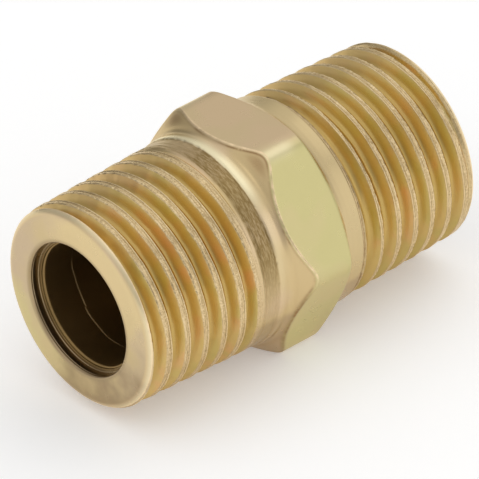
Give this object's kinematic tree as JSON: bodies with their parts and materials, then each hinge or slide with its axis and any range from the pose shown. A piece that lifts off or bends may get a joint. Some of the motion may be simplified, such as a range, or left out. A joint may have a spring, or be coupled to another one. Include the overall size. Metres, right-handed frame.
{
  "type": "hex nipple",
  "caption": "Short pipe nipple with a hexagon in the middle, a tapered male pipe thread on each end and a through bore.",
  "frame": {"origin": "on the bore's axis, half way between the two end faces", "axes": "+X along the bore, towards the end whose side of the hexagon has the steep, narrow chamfer; +Z square to one hexagon flat"},
  "size_m": [0.0264, 0.0162, 0.0142],
  "materials": {
    "plated_steel": "turned steel, zinc plated with a yellow chromate, semi-gloss with faint pink and green tints"
  },
  "bodies": {
    "root": {"hex_nipple": "plated_steel"}
  },
  "joints": []
}
